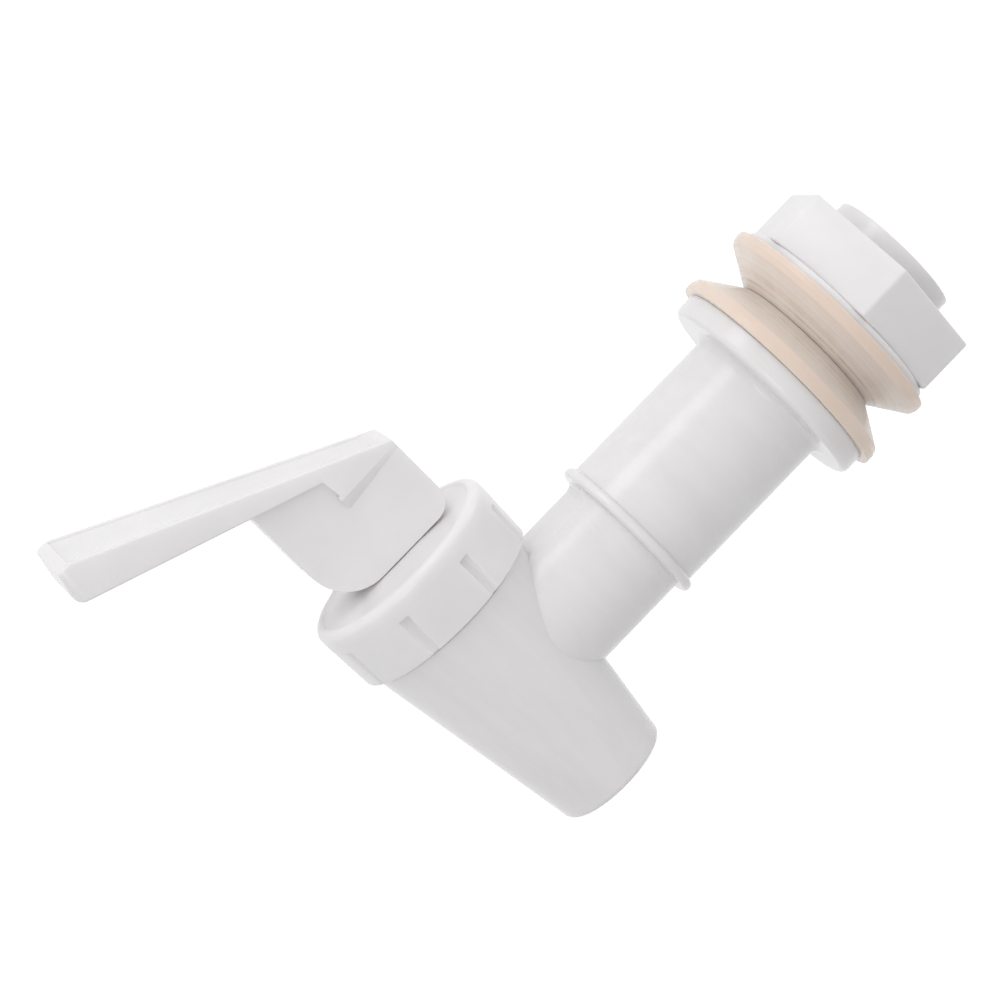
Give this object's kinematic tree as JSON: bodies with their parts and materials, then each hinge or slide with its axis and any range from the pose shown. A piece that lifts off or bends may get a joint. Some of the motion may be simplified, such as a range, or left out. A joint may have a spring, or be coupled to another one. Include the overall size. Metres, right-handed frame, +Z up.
{
  "type": "drinks dispenser spigot",
  "caption": "Lever tap for a drinks dispenser: tapered spout under a screwed bonnet, thumb lever that lifts a soft seat cup, and a shank with flange, cone washers and a hexagon nut.",
  "frame": {"origin": "on the shank's axis, on the rear face of its flange, where the front washer seats", "axes": "+Y runs back along the shank into the tank, -Y is the front with the spout and the lever, +Z is up along the spout's axis and the stem, +X is across"},
  "size_m": [0.0316, 0.1027, 0.0711],
  "materials": {
    "white_body": "moulded, satin gloss",
    "white_bonnet": "moulded, satin gloss",
    "white_lever": "moulded, satin gloss",
    "white_stem": "moulded, satin gloss",
    "white_nut": "moulded, satin gloss",
    "spring_steel": "drawn stainless wire",
    "silicone_cup": "soft, translucent",
    "silicone_washer": "soft, translucent"
  },
  "bodies": {
    "spigot": {"spigot_body": "white_body", "bonnet": "white_bonnet", "front_washer": "silicone_washer", "seat_cup": "silicone_cup"},
    "swivel": {"return_spring": "spring_steel"},
    "stem": {"stem": "white_stem"},
    "lever": {"lever": "white_lever"},
    "washer_carriage": {"rear_washer": "silicone_washer"},
    "nut": {"hex_nut": "white_nut"}
  },
  "joints": [
    {"name": "lever_swivel", "type": "hinge", "parent": "spigot", "child": "swivel", "pos_m": [0, -0.0498, 0.0263], "axis": [0, 0, 1], "continuous": true},
    {"name": "stem_lift", "type": "slide", "parent": "swivel", "child": "stem", "axis": [0, 0, 1], "range_m": [0, 0.0017], "deforming": ["return_spring", "seat_cup"]},
    {"name": "lever_press", "type": "hinge", "parent": "stem", "child": "lever", "pos_m": [0, -0.0498, 0.0263], "axis": [1, 0, 0], "range_deg": [0, 35], "stiffness_Nm_per_rad": 0.0154, "springref_deg": -59.59},
    {"name": "nut_slide", "type": "slide", "parent": "spigot", "child": "washer_carriage", "axis": [0, 1, 0], "range_m": [0, 0.006]},
    {"name": "nut_turn", "type": "hinge", "parent": "washer_carriage", "child": "nut", "pos_m": [0, 0.0107, 0], "axis": [0, 1, 0], "range_deg": [0, 1080]}
  ],
  "couplings": [
    {"joint": "stem_lift", "follows": "lever_press", "m_per_rad": 0.00267},
    {"joint": "nut_turn", "follows": "nut_slide", "rad_per_m": 3141.6}
  ]
}
